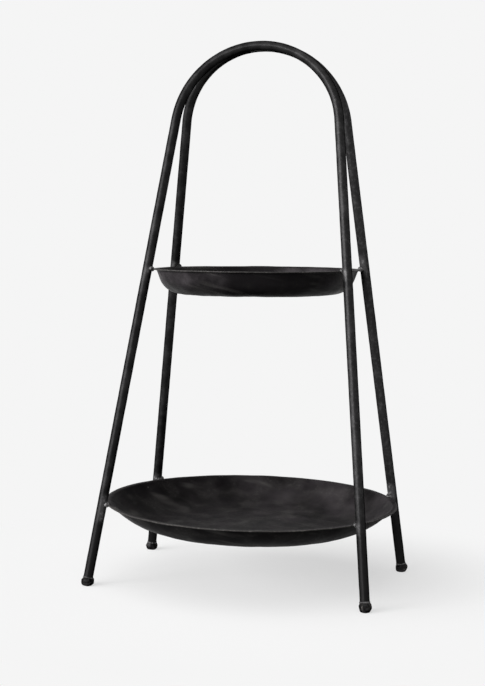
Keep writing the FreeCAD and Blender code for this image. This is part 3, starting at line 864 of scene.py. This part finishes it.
def make_foot_bead(place, side_x, side_y, squash, seed):
    """Ring in the corner between the end of the tube and the ball, its line set into both."""
    inset, steps = 0.0012, 48
    up = leg_direction(side_x, side_y)
    above_ball = BALL_SEAT - inset - (1 - squash) * (BALL_CENTRE + BALL_SEAT)
    centre = leg_point(side_x, side_y, BALL_CENTRE) + up * above_ball
    ring = ring_points(centre, up, TUBE_RADIUS - inset, steps)
    make_bead(f"foot_weld_{place}", ring, seed, closed=True, puddle_radius=0.0023, puddle_pitch=0.0022,
              puddle_length=0.8, unevenness=0.25, skin_voxel=0.00032, material=DULL_WELD)


def make_rim_bead(tray, place, side_x, side_y, seed):
    """Saddle of weld round the inner side of a leg where a rim comes up to it, higher at its ends."""
    leg = joint(tray, side_x, side_y)
    outward = Vector((leg.x, leg.y, 0.0)).normalized()
    sideways = Vector((-outward.y, outward.x, 0.0))
    reach = math.radians(48.0)
    half_steps, sunk, end_lift = 6, 0.0002, 0.0016
    points = []
    for step in range(2 * half_steps + 1):
        share = step / half_steps - 1
        around = sideways * math.sin(reach * share) - outward * math.cos(reach * share)
        lift = Vector((0.0, 0.0, end_lift * share**2))
        points.append(leg + around * (TUBE_RADIUS - sunk) + lift)
    make_bead(f"{tray}_weld_{place}", points, seed, puddle_radius=0.0046, puddle_pitch=0.0030,
              puddle_length=0.7, unevenness=0.2, skin_voxel=0.00034,
              material=RIM_BEAD_FINISHES.get((tray, place), DULL_WELD))


def make_crown_bead(node, above, seed):
    """Seam along the groove between the hoops, on top of the crown or under it."""
    half_steps, off_centreline, skin_rise, seam_share = 12, 0.0050, 0.0028, 0.94
    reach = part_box(node)[1].x
    radius = ARCH_RADIUS + above * off_centreline
    half_turn = math.asin(reach / (radius + skin_rise))
    middle = CROWN_Z - ARCH_RADIUS
    points = []
    for step in range(2 * half_steps + 1):
        angle = half_turn * (step / half_steps - 1) * seam_share
        points.append(Vector((radius * math.sin(angle), 0.0, middle + radius * math.cos(angle))))
    make_bead(node, points, seed, puddle_radius=0.0027, puddle_pitch=0.0016, puddle_length=0.7,
              unevenness=0.12, skin_voxel=0.0003, material=BLACK_WELD)


for order, (leg_name, (leg_sides, beaten_to)) in enumerate(LEGS.items()):
    make_foot(leg_name, *leg_sides, beaten_to)
    make_foot_bead(leg_name, *leg_sides, beaten_to, seed=10 + order)
    make_rim_bead("upper_tray", leg_name, *leg_sides, seed=20 + order)
    make_rim_bead("lower_tray", leg_name, *leg_sides, seed=30 + order)
make_crown_bead("crown_weld_top", 1, seed=40)
make_crown_bead("crown_weld_under", -1, seed=41)

# ---------------------------------------------------------------- floor, light and camera

BACKDROP = 0.913
FLOOR_RADIUS = 30.0
# The floor is lit by this share up to the first radius from its middle, and not at all past the second.
SHADOW_SHARE = 0.36
SHADOW_FULL = 0.26
SHADOW_GONE = 0.62
# The grey that the floor has for the light that it throws back up.
FLOOR_BOUNCE = (0.12, 0.12, 0.12, 1.0)
WORLD_FILL = 0.05


def seen_directly(build):
    """1 for rays that show the backdrop as such: camera, mirror-like and see-through ones."""
    rays = build.add("ShaderNodeLightPath").outputs
    seen = build.math("MAXIMUM", rays["Is Camera Ray"], rays["Is Glossy Ray"])
    return build.math("MAXIMUM", seen, rays["Is Transmission Ray"])


def floor_finish():
    """Pale floor: near the table it is lit and takes its shadow, further out it is the backdrop."""
    material = bpy.data.materials.new("pale_floor")
    material.use_nodes = True
    build = Tree(material.node_tree)
    build.nodes.remove(build.nodes["Principled BSDF"])
    leaving = build.nodes["Material Output"]
    where = build.add("ShaderNodeTexCoord").outputs["Object"]
    near = build.ramp(build.vector("LENGTH", where), SHADOW_GONE, SHADOW_FULL, 0.0, SHADOW_SHARE)
    grey = (BACKDROP, BACKDROP, BACKDROP, 1.0)
    plain = build.add("ShaderNodeEmission", {"Color": grey, "Strength": 1.0}).outputs[0]
    lit = build.add("ShaderNodeBsdfDiffuse", {"Color": grey}).outputs[0]
    shown = build.add("ShaderNodeMixShader", {0: near, 1: plain, 2: lit}).outputs[0]
    bounce = build.add("ShaderNodeBsdfDiffuse", {"Color": FLOOR_BOUNCE}).outputs[0]
    full = build.add("ShaderNodeMixShader", {0: seen_directly(build), 1: bounce, 2: shown}).outputs[0]
    build.feed(leaving.inputs["Surface"], full)
    return material


def make_floor():
    """Round floor that runs on far past the table."""
    disc = bmesh.new()
    bmesh.ops.create_circle(disc, cap_ends=True, segments=96, radius=FLOOR_RADIUS)
    mesh = bpy.data.meshes.new("floor")
    disc.to_mesh(mesh)
    disc.free()
    mesh.materials.append(floor_finish())
    floor = bpy.data.objects.new("floor", mesh)
    SCENE.collection.objects.link(floor)


def make_world(fill):
    """Even fill light from all round, shown as the pale backdrop where it is seen directly."""
    world = bpy.data.worlds.new("studio")
    world.use_nodes = True
    SCENE.world = world
    build = Tree(world.node_tree)
    light = build.nodes["Background"]
    light.inputs["Color"].default_value = (1.0, 1.0, 1.0, 1.0)
    strength = build.ramp(seen_directly(build), 0.0, 1.0, fill, BACKDROP)
    build.feed(light.inputs["Strength"], strength)


def make_soft_light(name, azimuth, height, spread, strength):
    """Wide soft light from far off, by its bearing from -Y towards +X and its height, in degrees."""
    lamp = bpy.data.lights.new(name, "SUN")
    lamp.angle = math.radians(spread)
    lamp.energy = strength
    light = bpy.data.objects.new(name, lamp)
    SCENE.collection.objects.link(light)
    bearing, rise = math.radians(azimuth), math.radians(height)
    source = Vector((math.sin(bearing) * math.cos(rise), -math.cos(bearing) * math.cos(rise),
                     math.sin(rise)))
    light.rotation_euler = source.to_track_quat("Z", "Y").to_euler()


def make_camera():
    """Camera in front and to the right, a little above the table's middle, looking slightly down."""
    azimuth = math.radians(16.055)
    pitch = math.radians(4.064)
    pan = math.radians(-0.499)
    roll = math.radians(1.431)
    distance = 2.4758
    height = 0.5755
    lens = 77.56
    from_table = Vector((math.sin(azimuth), -math.cos(azimuth), 0.0))
    right = Vector((math.cos(azimuth), math.sin(azimuth), 0.0))
    up = Vector((0.0, 0.0, 1.0))
    ahead = -from_table * math.cos(pan) + right * math.sin(pan)
    right = right * math.cos(pan) + from_table * math.sin(pan)
    ahead = ahead * math.cos(pitch) - up * math.sin(pitch)
    up = right.cross(ahead)
    right, up = (right * math.cos(roll) + up * math.sin(roll),
                 up * math.cos(roll) - right * math.sin(roll))
    turn = Matrix((right, up, -ahead)).transposed().to_4x4()
    camera_data = bpy.data.cameras.new("camera")
    camera_data.sensor_width = 36.0
    camera_data.lens = lens
    camera_data.clip_end = 100.0
    camera = bpy.data.objects.new("camera", camera_data)
    SCENE.collection.objects.link(camera)
    camera.matrix_world = Matrix.Translation(from_table * distance + Vector((0, 0, height))) @ turn
    SCENE.camera = camera


make_floor()
make_world(WORLD_FILL)
make_soft_light("key_left", -43.0, 18.0, 25.0, 2.3)
make_soft_light("key_front", -20.0, 13.0, 24.0, 1.5)
make_soft_light("window_left", -68.0, 10.0, 40.0, 1.4)
make_soft_light("overhead", -50.0, 66.0, 76.0, 1.86)
make_soft_light("fill_right", 115.0, 12.0, 30.0, 0.3)
make_camera()
SCENE.view_settings.view_transform = "Standard"
